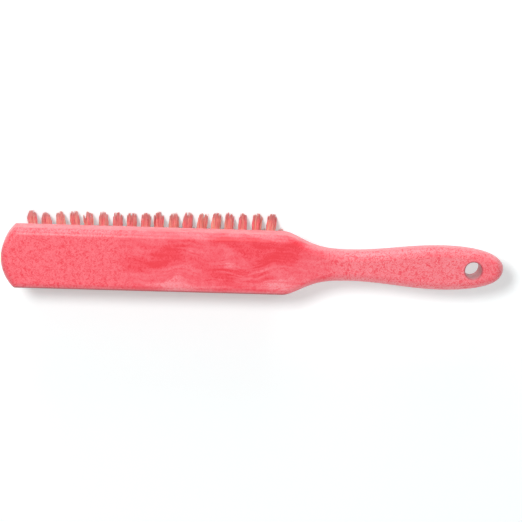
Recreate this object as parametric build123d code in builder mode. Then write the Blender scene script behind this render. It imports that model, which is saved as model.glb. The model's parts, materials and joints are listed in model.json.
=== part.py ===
from build123d import *
import math
import os

# Neck duster brush: a one-piece moulded back with its handle, set with leaning bristle tufts.
#
# The brush stands on its bristle tips. +X runs along the brush towards the handle, +Z is up
# through the smooth back, and the origin lies on the plane of the tips, under the middle of the
# brush. Each tuft is folded over a flat wire anchor, whose ends bite into the wall of its hole.

# ---- driving dimensions, in millimetres and degrees ----
brush_length = 250.0

block_length = 139.0  # from the bowed end to the start of the shoulder
block_width = 30.6
block_thickness = 14.0
block_end_radius = 21.0  # the bow of the far end, seen from above
block_corner_radius = 2.0
back_edge_radius = 3.5
bristle_edge_radius = 1.5

shoulder_length = 34.4  # from the start of the shoulder to the narrowest place
shoulder_sharpness = 4  # a higher power turns the shoulder in sooner
neck_width = 15.2
grip_width = 21.8
grip_from_tip = 31.8  # the widest place of the grip, from the handle's tip
handle_thickness = 12.4
handle_edge_radius = 4.4
handle_drop = 1.2  # how far the handle's middle line falls by its tip
nose_length = 5.0  # the last stretch, where the handle thins to its tip
nose_fullness = 2.3  # 2 is an ellipse seen from above, and more is blunter
tip_overshoot = 0.02  # the nose's outline would close to a point this far past the tip
roundest_edge = 0.47  # the largest edge radius, in shares of the section's shorter side

shoulder_sections = 10
shoulder_crowding = 1.3  # above 1, the sections crowd towards the block
grip_sections = 5
nose_sections = 10

hang_hole_radius = 4.2
hang_hole_from_tip = 15.8
hang_hole_rim = 0.5

tuft_columns = 18  # in the edge rows and the middle row; the rows between have one more
tuft_rows = 5
tuft_pitch = 6.87
tuft_row_pitch = 5.4
tufts_from_shoulder = 6.5  # from the last tuft of an edge row to the shoulder
bristle_trim = 28.0  # the free length, from the bristle face to the tips
untrimmed = 1.2  # the tufts before trimming, in shares of bristle_trim
tuft_flare = 1.4  # each side
fan_along = 6.5  # lean of the outermost tufts along the brush
fan_across = 7.6  # lean of the edge rows

tuft_hole_radius = 2.0
tuft_hole_depth = 8.0
tuft_clearance = 0.04

anchor_width = 4.9
anchor_height = 1.8
anchor_thickness = 0.4
anchor_from_bottom = 0.9  # the fold of the tuft lies between the anchor and the hole's bottom
anchor_clearance = 0.02

# ---- levels, and stations along the brush ----
face_z = bristle_trim
block_end_x = -brush_length / 2
tip_x = brush_length / 2
shoulder_x = block_end_x + block_length
neck_x = shoulder_x + shoulder_length
grip_x = tip_x - grip_from_tip
hang_hole_x = tip_x - hang_hole_from_tip
anchor_z = tuft_hole_depth - anchor_from_bottom - anchor_height / 2  # its middle, in the hole


def swing(share):
    """From 0 to 1, level at both ends."""
    share = min(max(share, 0.0), 1.0)
    return share * share * (3 - 2 * share)


def width_at(x):
    """Full width of the shoulder, neck, grip and nose."""
    if x <= neck_x:
        share = (x - shoulder_x) / shoulder_length
        left = (1 - share) ** shoulder_sharpness * (1 + shoulder_sharpness * share)
        return neck_width + (block_width - neck_width) * left
    if x <= grip_x:
        return neck_width + (grip_width - neck_width) * swing((x - neck_x) / (grip_x - neck_x))
    towards_tip = (x - grip_x) / (grip_from_tip + tip_overshoot)
    return grip_width * (1 - towards_tip**nose_fullness) ** (1 / nose_fullness)


def thickness_at(x):
    """Thickness of the same stretch, which thins over the shoulder and closes at the nose."""
    over_shoulder = swing((x - shoulder_x) / shoulder_length)
    into_nose = max(0.0, (x - tip_x + nose_length) / (nose_length + tip_overshoot))
    full = block_thickness + (handle_thickness - block_thickness) * over_shoulder
    return full * math.sqrt(1 - into_nose**2)


def middle_at(x):
    """Height of the middle of the section, which falls a little towards the tip."""
    along = (x - shoulder_x) / (tip_x - shoulder_x)
    return face_z + block_thickness / 2 - handle_drop * along**2


def edge_radii_at(x):
    """Radius of the edges on the back, and of those on the bristle side."""
    share = swing((x - shoulder_x) / shoulder_length)
    largest = roundest_edge * min(width_at(x), thickness_at(x))
    on_back = back_edge_radius + (handle_edge_radius - back_edge_radius) * share
    below = bristle_edge_radius + (handle_edge_radius - bristle_edge_radius) * share
    return min(on_back, largest), min(below, largest)


# Sections lie close together where the outline turns quickly, at the shoulder and at the nose.
stations = [
    shoulder_x + shoulder_length * (step / shoulder_sections) ** shoulder_crowding
    for step in range(shoulder_sections + 1)
]
stations += [neck_x + (grip_x - neck_x) * step / grip_sections for step in range(1, grip_sections)]
stations += [
    grip_x + grip_from_tip * math.sin(math.pi / 2 * step / nose_sections)
    for step in range(nose_sections + 1)
]

# ---- tuft places, in ranks across the brush ----
field_half_length = tuft_columns * tuft_pitch / 2
field_half_width = (tuft_rows - 1) * tuft_row_pitch / 2
field_middle_x = shoulder_x - tufts_from_shoulder - (tuft_columns - 1) * tuft_pitch / 2


def tuft_place(x, y):
    """Plane at the mouth of a tuft's hole, with its Z along the hole and into the block."""
    along = math.tan(math.radians(fan_along * (x - field_middle_x) / field_half_length))
    across = math.tan(math.radians(fan_across * y / field_half_width))
    return Plane(origin=(x, y, face_z), x_dir=(1, 0, along), z_dir=(-along, -across, 1))


ranks = []
for rank in range(tuft_columns + 1):
    between_x = field_middle_x - field_half_length + rank * tuft_pitch
    places = []
    for row in range(tuft_rows):
        y = row * tuft_row_pitch - field_half_width
        if row % 2 == 1:
            places.append(tuft_place(between_x, y))
        elif rank < tuft_columns:
            places.append(tuft_place(between_x + tuft_pitch / 2, y))
    ranks.append(places)
every_place = [place for places in ranks for place in places]


def cut_anchor_pockets(places):
    """Room for the anchors, in whatever part is being built."""
    with Locations(*[place.offset(anchor_z) for place in places]):
        Box(
            anchor_width + 2 * anchor_clearance,
            anchor_thickness + 2 * anchor_clearance,
            anchor_height + 2 * anchor_clearance,
            mode=Mode.SUBTRACT,
        )


os.makedirs("parts", exist_ok=True)

# ---- body: the block and the handle, one moulding ----
with BuildPart() as body:
    half_width = block_width / 2
    bow = block_end_radius - math.sqrt(block_end_radius**2 - half_width**2)
    corner_x = block_end_x + bow
    with BuildSketch(Plane.XY.offset(face_z)) as outline:
        with BuildLine():
            ThreePointArc((corner_x, half_width), (block_end_x, 0), (corner_x, -half_width))
            Polyline(
                (corner_x, -half_width),
                (shoulder_x, -half_width),
                (shoulder_x, half_width),
                (corner_x, half_width),
            )
        make_face()
        fillet(outline.vertices().group_by(Axis.X)[0], block_corner_radius)
    extrude(amount=block_thickness)
    for side, radius in ((-1, back_edge_radius), (0, bristle_edge_radius)):
        joined_face = body.faces().sort_by(Axis.X)[-1]
        fillet(body.faces().sort_by(Axis.Z)[side].edges() - joined_face.edges(), radius)

    for x in stations:
        back_radius, lower_radius = edge_radii_at(x)
        with BuildSketch(Plane.YZ.offset(x)) as section:
            with Locations((0, middle_at(x))):
                Rectangle(width_at(x), thickness_at(x))
            fillet(section.vertices().group_by(Axis.Y)[-1], back_radius)
            fillet(section.vertices().group_by(Axis.Y)[0], lower_radius)
    loft()

    with Locations((hang_hole_x, 0, middle_at(hang_hole_x))):
        Cylinder(hang_hole_radius, block_thickness, mode=Mode.SUBTRACT)
    hole_wall = body.faces().filter_by(GeomType.CYLINDER).sort_by(Axis.X)[-1]
    chamfer(hole_wall.edges().filter_by(GeomType.LINE, reverse=True), hang_hole_rim)

    with Locations(*every_place):
        Cylinder(tuft_hole_radius, 2 * tuft_hole_depth, mode=Mode.SUBTRACT)
    cut_anchor_pockets(every_place)
body.part.label = "body"
export_step(body.part, "parts/body.step")

# ---- tufts: the folded root in its hole, then the free bristles, trimmed level at the tips ----
root_radius = tuft_hole_radius - tuft_clearance
free_length = bristle_trim * untrimmed
tip_radius = root_radius + free_length * math.tan(math.radians(tuft_flare))
for number, places in enumerate(ranks, start=1):
    with BuildPart() as tufts:
        with Locations(*places):
            into_block = (Align.CENTER, Align.CENTER, Align.MIN)
            Cylinder(root_radius, tuft_hole_depth - tuft_clearance, align=into_block)
            out_of_block = (Align.CENTER, Align.CENTER, Align.MAX)
            Cone(tip_radius, root_radius, free_length, align=out_of_block)
        cut_anchor_pockets(places)
        split(bisect_by=Plane.XY)
    tufts.part.label = f"tufts_rank_{number:02d}"
    export_step(tufts.part, f"parts/{tufts.part.label}.step")

# ---- anchors: a flat wire across the fold of each tuft ----
for number, places in enumerate(ranks, start=1):
    with BuildPart() as anchors:
        with Locations(*[place.offset(anchor_z) for place in places]):
            Box(anchor_width, anchor_thickness, anchor_height)
    anchors.part.label = f"anchors_rank_{number:02d}"
    export_step(anchors.part, f"parts/{anchors.part.label}.step")
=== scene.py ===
import json
import math
import random

import bmesh
import bpy
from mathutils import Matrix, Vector


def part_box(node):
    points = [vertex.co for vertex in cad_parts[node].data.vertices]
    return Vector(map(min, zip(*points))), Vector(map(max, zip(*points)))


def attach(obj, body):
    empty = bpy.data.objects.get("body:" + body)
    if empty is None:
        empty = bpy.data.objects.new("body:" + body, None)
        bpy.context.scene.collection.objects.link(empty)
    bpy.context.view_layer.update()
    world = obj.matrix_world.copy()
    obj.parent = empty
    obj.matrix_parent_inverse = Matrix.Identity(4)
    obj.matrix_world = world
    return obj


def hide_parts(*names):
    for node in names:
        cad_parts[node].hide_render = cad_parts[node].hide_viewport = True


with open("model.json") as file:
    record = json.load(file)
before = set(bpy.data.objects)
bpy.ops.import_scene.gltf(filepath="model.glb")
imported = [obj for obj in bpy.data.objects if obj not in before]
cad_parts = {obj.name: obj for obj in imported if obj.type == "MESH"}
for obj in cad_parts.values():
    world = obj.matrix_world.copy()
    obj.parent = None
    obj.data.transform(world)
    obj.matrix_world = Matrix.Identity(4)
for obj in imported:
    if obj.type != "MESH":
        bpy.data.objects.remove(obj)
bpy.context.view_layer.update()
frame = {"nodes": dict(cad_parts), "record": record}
print("frame loaded,", len(frame["nodes"]), "nodes")

mm = 0.001


def toLinear(red, green, blue):
    # screen colour, 0 to 255, to the linear value a shader wants
    channels = []
    for value in (red, green, blue):
        value /= 255
        dark = value <= 0.04045
        channels.append(value / 12.92 if dark else ((value + 0.055) / 1.055) ** 2.4)
    return (*channels, 1.0)


def addNode(tree, kind, inputs=None, **settings):
    # an input takes either a value or another node's output
    node = tree.nodes.new("ShaderNode" + kind)
    for name, value in settings.items():
        setattr(node, name, value)
    for name, value in (inputs or {}).items():
        if isinstance(value, bpy.types.NodeSocket):
            tree.links.new(value, node.inputs[name])
        else:
            node.inputs[name].default_value = value
    return node


def addMath(tree, operation, *values):
    return addNode(tree, "Math", dict(enumerate(values)), operation=operation).outputs[0]


def aroundZero(tree, value):
    # a noise or a share, from 0 to 1, made to add as much as it takes away
    return addMath(tree, "SUBTRACT", value, 0.5)


def addRange(tree, value, low, high, toLow=0.0, toHigh=1.0):
    inputs = {
        "Value": value,
        "From Min": low,
        "From Max": high,
        "To Min": toLow,
        "To Max": toHigh,
    }
    return addNode(tree, "MapRange", inputs, interpolation_type="SMOOTHSTEP").outputs[0]


def addRamp(tree, value, stops):
    ramp = addNode(tree, "ValToRGB", {"Fac": value})
    elements = ramp.color_ramp.elements
    while len(elements) < len(stops):
        elements.new(0.5)
    for element, (place, colour) in zip(elements, stops):
        element.position = place
        element.color = toLinear(*colour)
    return ramp.outputs["Color"]


def addMix(tree, share, under, over):
    inputs = {"Fac": share, "Color1": under, "Color2": over}
    return addNode(tree, "MixRGB", inputs).outputs["Color"]


def addLength(tree, vector):
    return addNode(tree, "VectorMath", {0: vector}, operation="LENGTH").outputs["Value"]


def newMaterial(name):
    material = bpy.data.materials.new(name)
    material.use_nodes = True
    tree = material.node_tree
    return material, tree, tree.nodes["Principled BSDF"]


def dress(node, material):
    for materialSlot in node.material_slots:
        materialSlot.material = material


# Camera: long lens from above the block's back, leaning so that the back edge row shows

cameraSettings = {
    "lens": 138.0,  # mm, on a 36 mm sensor
    "distance": 0.9947,
    "lean": 12.5,  # degrees past vertical, towards +Y
    "turn": 3.5,  # degrees towards the bowed end
    "roll": 2.379,
    "aim": (0.003389, 0.00083, 0.035),
}

camera = bpy.data.objects.new("camera", bpy.data.cameras.new("camera"))
camera.data.lens = cameraSettings["lens"]
camera.rotation_mode = "ZXY"
camera.rotation_euler = (
    -math.radians(cameraSettings["lean"]),
    -math.radians(cameraSettings["turn"]),
    math.radians(cameraSettings["roll"]),
)
towardsCamera = camera.rotation_euler.to_matrix() @ Vector((0, 0, 1))
camera.location = Vector(cameraSettings["aim"]) + towardsCamera * cameraSettings["distance"]
bpy.context.collection.objects.link(camera)
bpy.context.scene.camera = camera

# Lights: a white room, one soft lamp overhead and a wide low one on each long side

lightSettings = {
    "world": 0.28,
    "key": {"place": (-0.34, 0.43, 1.25), "size": 0.24, "power": 10.2},
    "side": {"place": (-0.1, 1.3, 0.45), "size": 0.9, "power": 7.0},
    "front": {"place": (0.25, -1.35, 0.22), "size": 0.9, "power": 2.7},
}


def addLamp(name, place, size, power):
    lamp = bpy.data.objects.new(name, bpy.data.lights.new(name, "AREA"))
    lamp.data.shape = "DISK"
    lamp.data.size = size
    lamp.data.energy = power
    lamp.location = place
    lamp.rotation_euler = (-Vector(place)).to_track_quat("-Z", "Y").to_euler()
    bpy.context.collection.objects.link(lamp)


for lampName in ("key", "side", "front"):
    addLamp(lampName, **lightSettings[lampName])


def seenOrMirrored(tree):
    # 1 where the camera sees the surface, itself or in gloss or glass
    path = addNode(tree, "LightPath").outputs
    glassOrGloss = addMath(tree, "MAXIMUM", path["Is Glossy Ray"], path["Is Transmission Ray"])
    return addMath(tree, "MAXIMUM", path["Is Camera Ray"], glassOrGloss)


world = bpy.data.worlds.new("studio")
bpy.context.scene.world = world
world.use_nodes = True
room = world.node_tree
roomStrength = addNode(
    room, "MapRange", {"Value": seenOrMirrored(room), "To Min": lightSettings["world"]}
)
roomBackground = room.nodes["Background"]
roomBackground.inputs["Color"].default_value = (1, 1, 1, 1)
room.links.new(roomStrength.outputs[0], roomBackground.inputs["Strength"])

floorSettings = {
    "halfSize": 0.7,
    "edge": (0.3, 0.6),  # the paper fades out into the white room, m from the middle
    "colour": (0.81, 0.86, 0.862, 1),  # a little cool, against the red light off the brush
    "roughness": 0.9,
    "lift": 0.325,  # own light where the camera sees it, so that the paper is white
}

floorMesh = bpy.data.meshes.new("floor")
floorShape = bmesh.new()
bmesh.ops.create_grid(
    floorShape, x_segments=1, y_segments=1, size=floorSettings["halfSize"]
)
floorShape.to_mesh(floorMesh)
floorShape.free()
floor = bpy.data.objects.new("floor", floorMesh)
bpy.context.collection.objects.link(floor)

floorPaper, paper, paperShader = newMaterial("floorPaper")
paperShader.inputs["Base Color"].default_value = floorSettings["colour"]
paperShader.inputs["Roughness"].default_value = floorSettings["roughness"]
paperShader.inputs["Specular IOR Level"].default_value = 0.0
paperShader.inputs["Emission Color"].default_value = (1, 1, 1, 1)
paperLift = addMath(paper, "MULTIPLY", seenOrMirrored(paper), floorSettings["lift"])
paper.links.new(paperLift, paperShader.inputs["Emission Strength"])
fromMiddle = addLength(paper, addNode(paper, "TexCoord").outputs["Object"])
paperEdge = addRange(paper, fromMiddle, *floorSettings["edge"], 1.0, 0.0)
fromBelow = addNode(paper, "NewGeometry").outputs["Backfacing"]
fromAbove = addMath(paper, "SUBTRACT", 1.0, fromBelow)
paper.links.new(addMath(paper, "MULTIPLY", paperEdge, fromAbove), paperShader.inputs["Alpha"])
floor.data.materials.append(floorPaper)
print("camera, lights and floor made")

# Effects that more than one material uses

effectSettings = {
    "threadWidth": 0.16,  # how far from the middle of the noise a thread has faded out
    "threadDetail": 2.0,
    "threadRaggedness": 0.62,
    "grainDetail": 3.0,
    "broadGrain": 0.08,  # scale of the broad unevenness, of the fine one's
}


def newGroup(name, inputs, outputs):
    group = bpy.data.node_groups.new(name, "ShaderNodeTree")
    for socketName, kind in inputs:
        group.interface.new_socket(
            socketName, in_out="INPUT", socket_type="NodeSocket" + kind
        )
    for socketName in outputs:
        group.interface.new_socket(
            socketName, in_out="OUTPUT", socket_type="NodeSocketFloat"
        )
    taken = group.nodes.new("NodeGroupInput").outputs
    given = group.nodes.new("NodeGroupOutput").inputs
    return group, taken, given


def makeFlecks():
    # short curly threads, from 0 between them to 1 along them
    group, taken, given = newGroup(
        "flecks",
        (("Coordinates", "Vector"), ("Size", "Float"), ("Curl", "Float")),
        ("Flecks",),
    )
    noise = addNode(
        group,
        "TexNoise",
        {
            "Vector": taken["Coordinates"],
            "Scale": addMath(group, "DIVIDE", 1.0, taken["Size"]),
            "Detail": effectSettings["threadDetail"],
            "Roughness": effectSettings["threadRaggedness"],
            "Distortion": taken["Curl"],
        },
    ).outputs["Fac"]
    offMiddle = addMath(group, "ABSOLUTE", aroundZero(group, noise))
    threads = addRange(group, offMiddle, effectSettings["threadWidth"], 0.0)
    group.links.new(threads, given["Flecks"])
    return group


def makeGrain():
    # fine unevenness of a surface: its roughness, and a height for a bump
    group, taken, given = newGroup(
        "grain",
        (
            ("Coordinates", "Vector"),
            ("Size", "Float"),
            ("Roughness", "Float"),
            ("Spread", "Float"),
        ),
        ("Roughness", "Height"),
    )
    place = taken["Coordinates"]
    scale = addMath(group, "DIVIDE", 1.0, taken["Size"])
    fine = addNode(
        group,
        "TexNoise",
        {"Vector": place, "Scale": scale, "Detail": effectSettings["grainDetail"]},
    ).outputs["Fac"]
    broadScale = addMath(group, "MULTIPLY", scale, effectSettings["broadGrain"])
    broad = addNode(group, "TexNoise", {"Vector": place, "Scale": broadScale}).outputs["Fac"]
    unevenness = addMath(group, "SUBTRACT", addMath(group, "ADD", fine, broad), 1.0)
    roughness = addMath(
        group, "MULTIPLY_ADD", unevenness, taken["Spread"], taken["Roughness"]
    )
    group.links.new(roughness, given["Roughness"])
    group.links.new(fine, given["Height"])
    return group


flecksGroup = makeFlecks()
grainGroup = makeGrain()


def inMillimetres(tree):
    place = addNode(tree, "TexCoord").outputs["Object"]
    scaled = addNode(tree, "Mapping", {"Vector": place, "Scale": (1 / mm, 1 / mm, 1 / mm)})
    return scaled.outputs["Vector"]


def addFlecks(tree, coordinates, size, curl):
    inputs = {"Coordinates": coordinates, "Size": size, "Curl": curl}
    return addNode(tree, "Group", inputs, node_tree=flecksGroup).outputs["Flecks"]


def addGrain(tree, coordinates, settings):
    inputs = {
        "Coordinates": coordinates,
        "Size": settings["grainSize"],
        "Roughness": settings["roughness"],
        "Spread": settings["roughnessSpread"],
    }
    return addNode(tree, "Group", inputs, node_tree=grainGroup).outputs


# Body: the moulding keeps its shape and gets a marbled plastic

bodySettings = {
    # tones from the richest to the palest, screen colours
    "tones": (
        (0.0, (240, 42, 60)),
        (0.25, (247, 67, 83)),
        (0.5, (249, 91, 105)),
        (0.75, (252, 115, 126)),
        (1.0, (255, 147, 155)),
    ),
    "middleTone": 0.42,
    # patches: middle x, y, half length, half width (mm), turn (degrees), change of tone
    "patches": (
        (-43.3, 4.6, 15, 6.5, 18, -0.42),
        (-57.0, -0.5, 12, 4.5, 5, -0.22),
        (-13.3, 10.6, 12, 4.5, -10, -0.36),
        (1.6, 5.5, 13, 10.0, 0, -0.34),
        (16.0, 6.5, 11, 8.0, 10, -0.36),
        (-35.8, -11.2, 22, 5.0, 5, 0.34),
        (16.6, -10.0, 16, 5.0, 0, 0.22),
        (-20.0, -0.5, 20, 7.0, -24, -0.26),
        (70.0, 0.0, 50, 40.0, 0, 0.21),
        (112.0, 0.0, 22, 30.0, 0, 0.16),
    ),
    "patchCore": 0.35,  # the share of a patch that has its full change
    "patchWander": 7.0,  # mm, how ragged the patches' edges are
    "patchWanderSize": 10.0,
    "sidePale": 0.17,  # painted sheen: the walls are drawn paler, standing in for the light they catch at a grazing angle
    "sideTurn": (0.5, 0.97),  # from wall to back, as the upright part of the normal
    # painted shade: a dark dull line along the block's straight edge, where it rounds away from
    # the light, laid out as a patch, its share last
    "edgeLine": (-55, -15.5, 400, 1.9, 0, 0.9),
    "edgeLineColour": (168, 22, 38),
    "edgeLineFrom": (37.5, 39.0),  # only where the edge rounds into the back, mm up
    # painted shade: the hole's wall and rim are drawn darker, standing in for the shade inside
    # the hole
    "holeGrime": (128, 62, 70),
    "holeGrimeShare": 0.5,
    "holeGrimeReach": (0.35, 0.9),  # mm past the hole's radius
    "flowRegion": (-78, -50, 24, 46),  # where the plastic has flowed smooth, mm along the brush
    "flowWander": 8.0,
    "flowWanderSize": 24.0,
    "flowTurn": 36,
    "flowStretch": (0.035, 0.34, 0.12),
    "flowDepth": 0.7,
    "flowLineSize": 1.5,
    "flowLineDepth": 0.26,
    "flowLineMiddle": 0.55,  # lines stronger than this make the tone paler, weaker ones richer
    # where the lines stand out more, laid out as the patches and ending in how many times more
    "swirls": ((-20.0, 1.5, 30, 5.0, -24, 1.6), (8.0, -6.0, 18, 5.0, -38, 1.1)),
    "fleckSize": 1.6,
    "fleckCurl": 1.1,
    "fleckDepth": 0.64,
    "fleckWander": 0.8,
    "fleckWanderSize": 2.4,
    "fleckHeight": 0.6,  # in the bump, of the grain's height
    "fleckInFlow": 0.5,  # what is left of the flecks where the plastic is smooth
    "grainSize": 0.5,
    "roughness": 0.42,
    "roughnessSpread": 0.16,
    "bumpHeight": 0.05 * mm,
    "bumpStrength": 0.35,
    "gloss": 0.4,  # the skin that a polished mould leaves
    "glossRoughness": 0.45,
}


def addWander(tree, coordinates, size, reach):
    noise = addNode(
        tree, "TexNoise", {"Vector": coordinates, "Scale": 1 / size, "Detail": 2.0}
    ).outputs["Color"]
    centred = addNode(
        tree, "VectorMath", {0: noise, 1: (0.5, 0.5, 0.5)}, operation="SUBTRACT"
    ).outputs[0]
    moved = addNode(tree, "VectorMath", {0: centred, "Scale": 2 * reach}, operation="SCALE")
    return addNode(tree, "VectorMath", {0: coordinates, 1: moved.outputs[0]}).outputs[0]


def addPatch(tree, coordinates, patch):
    x, y, halfLength, halfWidth, turn, change = patch
    rightThrough = 1000  # mm, so that its height doesn't matter
    place = addNode(
        tree,
        "Mapping",
        {
            "Vector": coordinates,
            "Location": (x, y, 0),
            "Rotation": (0, 0, math.radians(turn)),
            "Scale": (halfLength, halfWidth, rightThrough),
        },
        vector_type="TEXTURE",
    ).outputs["Vector"]
    return addRange(
        tree, addLength(tree, place), bodySettings["patchCore"], 1.0, change, 0.0
    )


def makeBodyPlastic():
    settings = bodySettings
    material, tree, shader = newMaterial("bodyPlastic")
    coordinates = inMillimetres(tree)
    x, _, z = addNode(tree, "SeparateXYZ", {"Vector": coordinates}).outputs
    flowStart, flowFull, flowEnding, flowEnd = settings["flowRegion"]
    inFlow = addMath(
        tree,
        "MULTIPLY",
        addRange(tree, x, flowStart, flowFull),
        addRange(tree, x, flowEnding, flowEnd, 1.0, 0.0),
    )

    flowing = addWander(
        tree, coordinates, settings["flowWanderSize"], settings["flowWander"]
    )
    stretched = addNode(
        tree,
        "Mapping",
        {
            "Vector": flowing,
            "Rotation": (0, 0, math.radians(settings["flowTurn"])),
            "Scale": settings["flowStretch"],
        },
    ).outputs["Vector"]
    flowLines = addNode(
        tree, "TexNoise", {"Vector": stretched, "Scale": 1.0, "Detail": 4.0, "Roughness": 0.6}
    ).outputs["Fac"]
    threads = addFlecks(tree, stretched, settings["flowLineSize"], 0.0)
    broadFlow = addMath(
        tree, "MULTIPLY", aroundZero(tree, flowLines), settings["flowDepth"]
    )
    threads = addMath(tree, "SUBTRACT", threads, settings["flowLineMiddle"])
    thinFlow = addMath(tree, "MULTIPLY", threads, settings["flowLineDepth"])
    lineStrength = 1.0
    for swirl in settings["swirls"]:
        lineStrength = addMath(tree, "ADD", lineStrength, addPatch(tree, coordinates, swirl))
    thinFlow = addMath(tree, "MULTIPLY", thinFlow, lineStrength)
    flow = addMath(tree, "MULTIPLY", addMath(tree, "ADD", broadFlow, thinFlow), inFlow)

    curly = addWander(
        tree, coordinates, settings["fleckWanderSize"], settings["fleckWander"]
    )
    flecks = addFlecks(tree, curly, settings["fleckSize"], settings["fleckCurl"])
    fleckShare = addRange(tree, inFlow, 0.0, 1.0, 1.0, settings["fleckInFlow"])
    sharedFlecks = addMath(tree, "MULTIPLY", aroundZero(tree, flecks), fleckShare)
    fleckTone = addMath(tree, "MULTIPLY", sharedFlecks, settings["fleckDepth"])

    tone = addMath(tree, "ADD", flow, fleckTone)
    tone = addMath(tree, "ADD", tone, settings["middleTone"])
    ragged = addWander(
        tree, coordinates, settings["patchWanderSize"], settings["patchWander"]
    )
    for patch in settings["patches"]:
        tone = addMath(tree, "ADD", tone, addPatch(tree, ragged, patch))
    # painted sheen: the nearer the normal lies to level, the paler the tone
    upright = addNode(
        tree, "SeparateXYZ", {"Vector": addNode(tree, "TexCoord").outputs["Normal"]}
    ).outputs["Z"]
    upright = addMath(tree, "ABSOLUTE", upright)
    wallSheenShare = addRange(tree, upright, *settings["sideTurn"], settings["sidePale"], 0.0)
    colour = addRamp(tree, addMath(tree, "ADD", tone, wallSheenShare), settings["tones"])
    # painted shade along the straight edge, near the back only
    nearBack = addRange(tree, z, *settings["edgeLineFrom"])
    edgeLine = addMath(
        tree, "MULTIPLY", addPatch(tree, coordinates, settings["edgeLine"]), nearBack
    )
    colour = addMix(tree, edgeLine, colour, toLinear(*settings["edgeLineColour"]))

    # painted shade in and around the hang hole
    mounts = {mount["name"]: mount for mount in frame["record"]["mounts"]}
    hole = mounts["hang_hole"]
    holeX, holeY = (place / mm for place in hole["pos_m"][:2])
    fromHole = addNode(
        tree,
        "Mapping",
        {"Vector": coordinates, "Location": (-holeX, -holeY, 0), "Scale": (1, 1, 0)},
    ).outputs["Vector"]
    holeShadeFull, holeShadeEnd = (hole["dims"]["r_mm"] + out for out in settings["holeGrimeReach"])
    holeShadeMask = addRange(
        tree,
        addLength(tree, fromHole),
        holeShadeFull,
        holeShadeEnd,
        settings["holeGrimeShare"],
        0.0,
    )
    holeShaded = addMix(tree, holeShadeMask, colour, toLinear(*settings["holeGrime"]))
    tree.links.new(holeShaded, shader.inputs["Base Color"])
    # the painted edge shade also loses the gloss
    offPaintedEdgeShade = addMath(tree, "SUBTRACT", 1.0, edgeLine)
    gloss = addMath(tree, "MULTIPLY", offPaintedEdgeShade, settings["gloss"])
    tree.links.new(gloss, shader.inputs["Coat Weight"])
    shader.inputs["Coat Roughness"].default_value = settings["glossRoughness"]

    grain = addGrain(tree, coordinates, settings)
    tree.links.new(grain["Roughness"], shader.inputs["Roughness"])
    height = addMath(tree, "MULTIPLY_ADD", flecks, settings["fleckHeight"], grain["Height"])
    height = addMath(tree, "ADD", height, flow)
    bump = addNode(
        tree,
        "Bump",
        {
            "Height": height,
            "Distance": settings["bumpHeight"],
            "Strength": settings["bumpStrength"],
        },
    )
    tree.links.new(bump.outputs["Normal"], shader.inputs["Normal"])
    return material


dress(frame["nodes"]["body"], makeBodyPlastic())
print("body dressed")

# Anchors: flat steel wire, cropped and driven in

anchorSettings = {
    "tones": ((0.0, (150, 146, 140)), (0.6, (188, 185, 180)), (1.0, (214, 212, 208))),
    "scratchSize": 0.5,
    "scratchCurl": 0.4,
    "scratchStretch": (0.25, 1.0, 1.0),  # drawn wire: its lines run along it
    "grainSize": 0.15,
    "roughness": 0.34,
    "roughnessSpread": 0.2,
    "bumpHeight": 0.01 * mm,
}


def makeAnchorSteel():
    settings = anchorSettings
    material, tree, shader = newMaterial("anchorSteel")
    coordinates = inMillimetres(tree)
    drawn = addNode(
        tree, "Mapping", {"Vector": coordinates, "Scale": settings["scratchStretch"]}
    ).outputs["Vector"]
    scratches = addFlecks(tree, drawn, settings["scratchSize"], settings["scratchCurl"])
    tree.links.new(addRamp(tree, scratches, settings["tones"]), shader.inputs["Base Color"])
    shader.inputs["Metallic"].default_value = 1.0
    grain = addGrain(tree, drawn, settings)
    tree.links.new(grain["Roughness"], shader.inputs["Roughness"])
    bump = addNode(
        tree, "Bump", {"Height": grain["Height"], "Distance": settings["bumpHeight"]}
    )
    tree.links.new(bump.outputs["Normal"], shader.inputs["Normal"])
    return material


anchorSteel = makeAnchorSteel()
for nodeName, node in frame["nodes"].items():
    if nodeName.startswith("anchors_"):
        dress(node, anchorSteel)
print("anchors dressed")

# Tufts: bundles of strands, each strand folded in two over its anchor

tuftSettings = {
    "strands": 58,  # folded ones: a tuft shows twice as many ends
    "strandRadius": 0.17 * mm,
    "tipTaper": 0.55,
    "holeDepth": 8.0 * mm,
    "anchorFar": 2.9 * mm,  # from the hole's bottom to just past the anchor
    "anchorSide": 0.42 * mm,  # from the anchor's middle to the strands beside it
    "foldRoom": 0.75 * mm,  # the folds end in this much at the hole's bottom
    "foldLeast": 0.25,  # the share of it that every fold takes
    "foldPinch": 0.9,  # the anchor draws the strands in
    "rootRadius": 1.78 * mm,
    "tipRadius": 2.72 * mm,
    "belly": 0.2,  # how much a tuft swells just outside its hole
    # a strand bends in two places on its free length: how far from the hole they are, how
    # much of its spread and of its lean it has there, and how much of the belly
    "nearBend": {"along": 0.28, "spread": 0.3, "lean": 0.14, "belly": 1.0},
    "farBend": {"along": 0.62, "spread": 0.6, "lean": 0.5, "belly": 0.8},
    "farGather": 0.4,  # how much it has gathered into its clump at the far one
    "tipGap": 1.4 * mm,  # the tips end up to this far above the floor
    "tipLow": 0.03 * mm,
    "clumps": 8,
    "clumpReach": 0.85,  # how far out clumps lie, of the tip radius
    "clumping": 0.32,
    "wander": 0.32 * mm,
    "strayShare": 0.05,
    "strayWander": 1.1 * mm,
    "usedSpread": 0.4 * mm,  # the edge rows are pushed out by use
    "usedSplay": 1.5 * mm,  # and more so towards the handle
    "usedLean": 0.35 * mm,  # each tuft leans its own way, along more than across
    "leanAcross": 0.5,
    "mostProud": 0.8 * mm,  # a stray may stand this far outside the moulded field
    "seed": 11,
}

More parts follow.
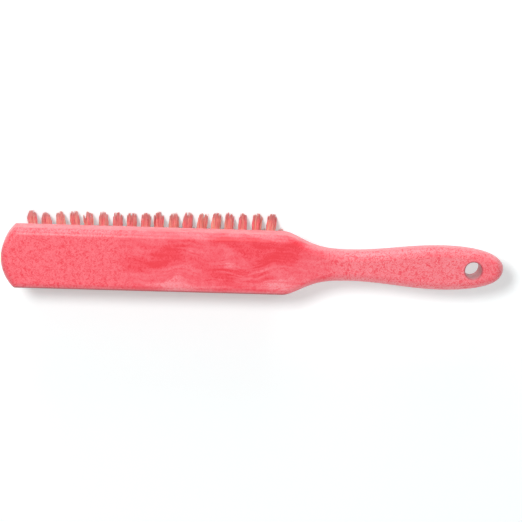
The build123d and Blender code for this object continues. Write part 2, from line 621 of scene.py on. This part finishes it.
bristleSettings = {
    "tones": (
        (0.0, (226, 62, 76)),
        (0.2, (255, 92, 101)),
        (0.5, (255, 112, 114)),
        (0.8, (255, 138, 126)),
        (1.0, (255, 176, 144)),
    ),
    "ownTone": 1.0,  # how far strands differ
    "tipPale": 0.18,
    "tipReach": 4.0,  # mm, how far up from the tips they have paled
    "fleckSize": 1.4,
    "fleckCurl": 0.3,
    "fleckDepth": 0.16,
    "grainSize": 0.2,
    "roughness": 0.38,
    "roughnessSpread": 0.15,
}


def makeBristlePlastic():
    settings = bristleSettings
    material, tree, shader = newMaterial("bristlePlastic")
    coordinates = inMillimetres(tree)
    z = addNode(tree, "SeparateXYZ", {"Vector": coordinates}).outputs["Z"]
    own = addNode(tree, "Attribute", attribute_name="strandShade").outputs["Fac"]
    own = addMath(tree, "MULTIPLY_ADD", aroundZero(tree, own), settings["ownTone"], 0.5)
    paled = addRange(tree, z, 0.0, settings["tipReach"], settings["tipPale"], 0.0)
    flecks = addFlecks(tree, coordinates, settings["fleckSize"], settings["fleckCurl"])
    fleckTone = addMath(tree, "MULTIPLY", aroundZero(tree, flecks), settings["fleckDepth"])
    tone = addMath(tree, "ADD", addMath(tree, "ADD", own, paled), fleckTone)
    tree.links.new(addRamp(tree, tone, settings["tones"]), shader.inputs["Base Color"])
    grain = addGrain(tree, coordinates, settings)
    tree.links.new(grain["Roughness"], shader.inputs["Roughness"])
    return material


def tuftAxes(nodeName):
    # the tip centre and the root centre of every tuft of a rank, read from its solids
    atTips, atRoots = 0.05 * mm, 0.7 * mm  # a leaning root disc is not quite level
    solids = bmesh.new()
    solids.from_mesh(frame["nodes"][nodeName].data)
    bmesh.ops.remove_doubles(solids, verts=solids.verts, dist=0.001 * mm)
    solids.verts.index_update()
    left = set(solids.verts)
    axes = []
    while left:
        island, growing = set(), {left.pop()}
        while growing:
            island |= growing
            growing = {edge.other_vert(vert) for vert in growing for edge in vert.link_edges}
            growing -= island
        left -= island
        # in one order, so that the sums come out the same each time
        places = [vert.co for vert in sorted(island, key=lambda vert: vert.index)]
        highest = max(place.z for place in places)
        tips = [place for place in places if place.z < atTips]
        roots = [place for place in places if place.z > highest - atRoots]
        axes.append((sum(tips, Vector()) / len(tips), sum(roots, Vector()) / len(roots)))
    solids.free()
    return sorted(axes, key=lambda axis: axis[0].y)


def discPoint(chance, radius):
    around = chance.uniform(0, math.tau)
    out = radius * math.sqrt(chance.random())
    return Vector((out * math.cos(around), out * math.sin(around)))


def foldPlaces(chance, count, radius):
    # evenly over the half of the hole on one side of the anchor
    goldenTurn = math.pi * (3 - math.sqrt(5))
    started = chance.uniform(0, math.tau)
    places = []
    for i in range(2 * count):
        out = radius * math.sqrt((i + 0.5) / (2 * count))
        around = started + i * goldenTurn
        place = Vector((math.cos(around), math.sin(around))) * out
        if place.y > 0:
            places.append(place)
    return places


def addStrand(curve, places, tipTaper):
    spline = curve.splines.new("POLY")
    spline.points.add(len(places) - 1)
    for point, place in zip(spline.points, places):
        point.co = (*place, 1)
    for end in (0, -1):
        spline.points[end].radius = tipTaper


def growTuft(curve, chance, tip, root, splay):
    settings = tuftSettings
    down = (tip - root).normalized()
    along = (Vector((1, 0, 0)) - down * down.x).normalized()
    across = down.cross(along)

    def inHole(side, depth):
        return root + along * side.x + across * side.y + down * depth

    def inTuft(side, share, drift):
        # share runs from 0 at the hole's mouth to 1 at the tips
        mouth = inHole(Vector((0, 0)), settings["holeDepth"])
        return mouth.lerp(tip, share) + along * side.x + across * side.y + drift

    lean = discPoint(chance, 2 * settings["usedLean"])
    drift = splay + Vector((lean.x, lean.y * settings["leanAcross"], 0))
    clumpRadius = settings["tipRadius"] * settings["clumpReach"]
    clumpTips = [discPoint(chance, clumpRadius) for _ in range(settings["clumps"])]
    flare = settings["tipRadius"] / settings["rootRadius"]
    nearBend, farBend = settings["nearBend"], settings["farBend"]
    for fold in foldPlaces(chance, settings["strands"], settings["rootRadius"]):
        pinched = fold.x * settings["foldPinch"]
        legs = []
        for sign in (-1, 1):
            rootSide = Vector((fold.x, sign * fold.y))
            spread = rootSide * flare
            nearest = min(clumpTips, key=lambda clump: (clump - spread).length)
            wander = settings["wander"]
            if chance.random() < settings["strayShare"]:
                wander = settings["strayWander"]
            tipSide = spread.lerp(nearest, settings["clumping"]) + discPoint(chance, wander)
            bend = discPoint(chance, settings["wander"])
            near, far = (
                rootSide.lerp(spread, each["spread"] + settings["belly"] * each["belly"])
                for each in (nearBend, farBend)
            )
            far = far.lerp(tipSide, settings["farGather"]) + bend
            end = inTuft(tipSide, 1.0, drift)
            end.z = settings["tipLow"] + settings["tipGap"] * chance.random() ** 2
            proud = settings["mostProud"]
            end.y = max(fieldLow.y - proud, min(end.y, fieldHigh.y + proud))
            beside = Vector((pinched, sign * settings["anchorSide"]))
            legs.append(
                [
                    end,
                    inTuft(far, farBend["along"], drift * farBend["lean"]),
                    inTuft(near, nearBend["along"], drift * nearBend["lean"]),
                    inHole(rootSide, settings["holeDepth"]),
                    inHole(beside, settings["anchorFar"]),
                ]
            )
        foldDepth = settings["foldRoom"] * chance.uniform(settings["foldLeast"], 1)
        top = inHole(Vector((pinched, 0)), foldDepth)
        addStrand(curve, legs[0] + [top] + legs[1][::-1], settings["tipTaper"])


def growRank(nodeName, number):
    chance = random.Random(tuftSettings["seed"] + number)
    curve = bpy.data.curves.new("strands", "CURVE")
    curve.dimensions = "3D"
    curve.bevel_depth = tuftSettings["strandRadius"]
    curve.bevel_resolution = 0
    curve.use_fill_caps = True
    middleX = (fieldLow.x + fieldHigh.x) / 2
    halfLength = (fieldHigh.x - fieldLow.x) / 2
    for tip, root in tuftAxes(nodeName):
        lengthwise = (tip.x - middleX) / halfLength
        sideways = tip.y / fieldHigh.y
        push = tuftSettings["usedSpread"] + tuftSettings["usedSplay"] * lengthwise
        splay = Vector((0, push * sideways, 0))
        growTuft(curve, chance, tip, root, splay)
    strandCount = len(curve.splines)
    mould = bpy.data.objects.new("mould", curve)
    bpy.context.collection.objects.link(mould)
    bristles = bpy.data.objects.new(
        f"bristles_rank_{number:02d}", bpy.data.meshes.new_from_object(mould)
    )
    bpy.data.objects.remove(mould)
    bpy.data.curves.remove(curve)
    bpy.context.collection.objects.link(bristles)
    pointsEach = len(bristles.data.vertices) // strandCount
    shade = bristles.data.attributes.new("strandShade", "FLOAT", "POINT")
    shades = [chance.random() for _ in range(strandCount)]
    shade.data.foreach_set("value", [value for value in shades for _ in range(pointsEach)])
    capped = bmesh.new()
    capped.from_mesh(bristles.data)
    # the strands' ends join their caps
    bmesh.ops.remove_doubles(capped, verts=capped.verts, dist=0.0001 * mm)
    capped.to_mesh(bristles.data)
    capped.free()
    bristles.data.materials.clear()
    bristles.data.materials.append(bristlePlastic)
    for face in bristles.data.polygons:
        face.use_smooth = True
    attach(bristles, "root")
    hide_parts(nodeName)
    return strandCount, pointsEach, len(bristles.data.polygons)


bristlePlastic = makeBristlePlastic()
tuftNodes = sorted(name for name in frame["nodes"] if name.startswith("tufts_"))
tuftBoxes = [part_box(name) for name in tuftNodes]
fieldLow = Vector(min(low[i] for low, high in tuftBoxes) for i in range(3))
fieldHigh = Vector(max(high[i] for low, high in tuftBoxes) for i in range(3))
for number, nodeName in enumerate(tuftNodes, start=1):
    facts = growRank(nodeName, number)
print("bristles grown, last rank (strands, points each, faces):", facts)

bpy.context.scene.view_settings.view_transform = "Standard"
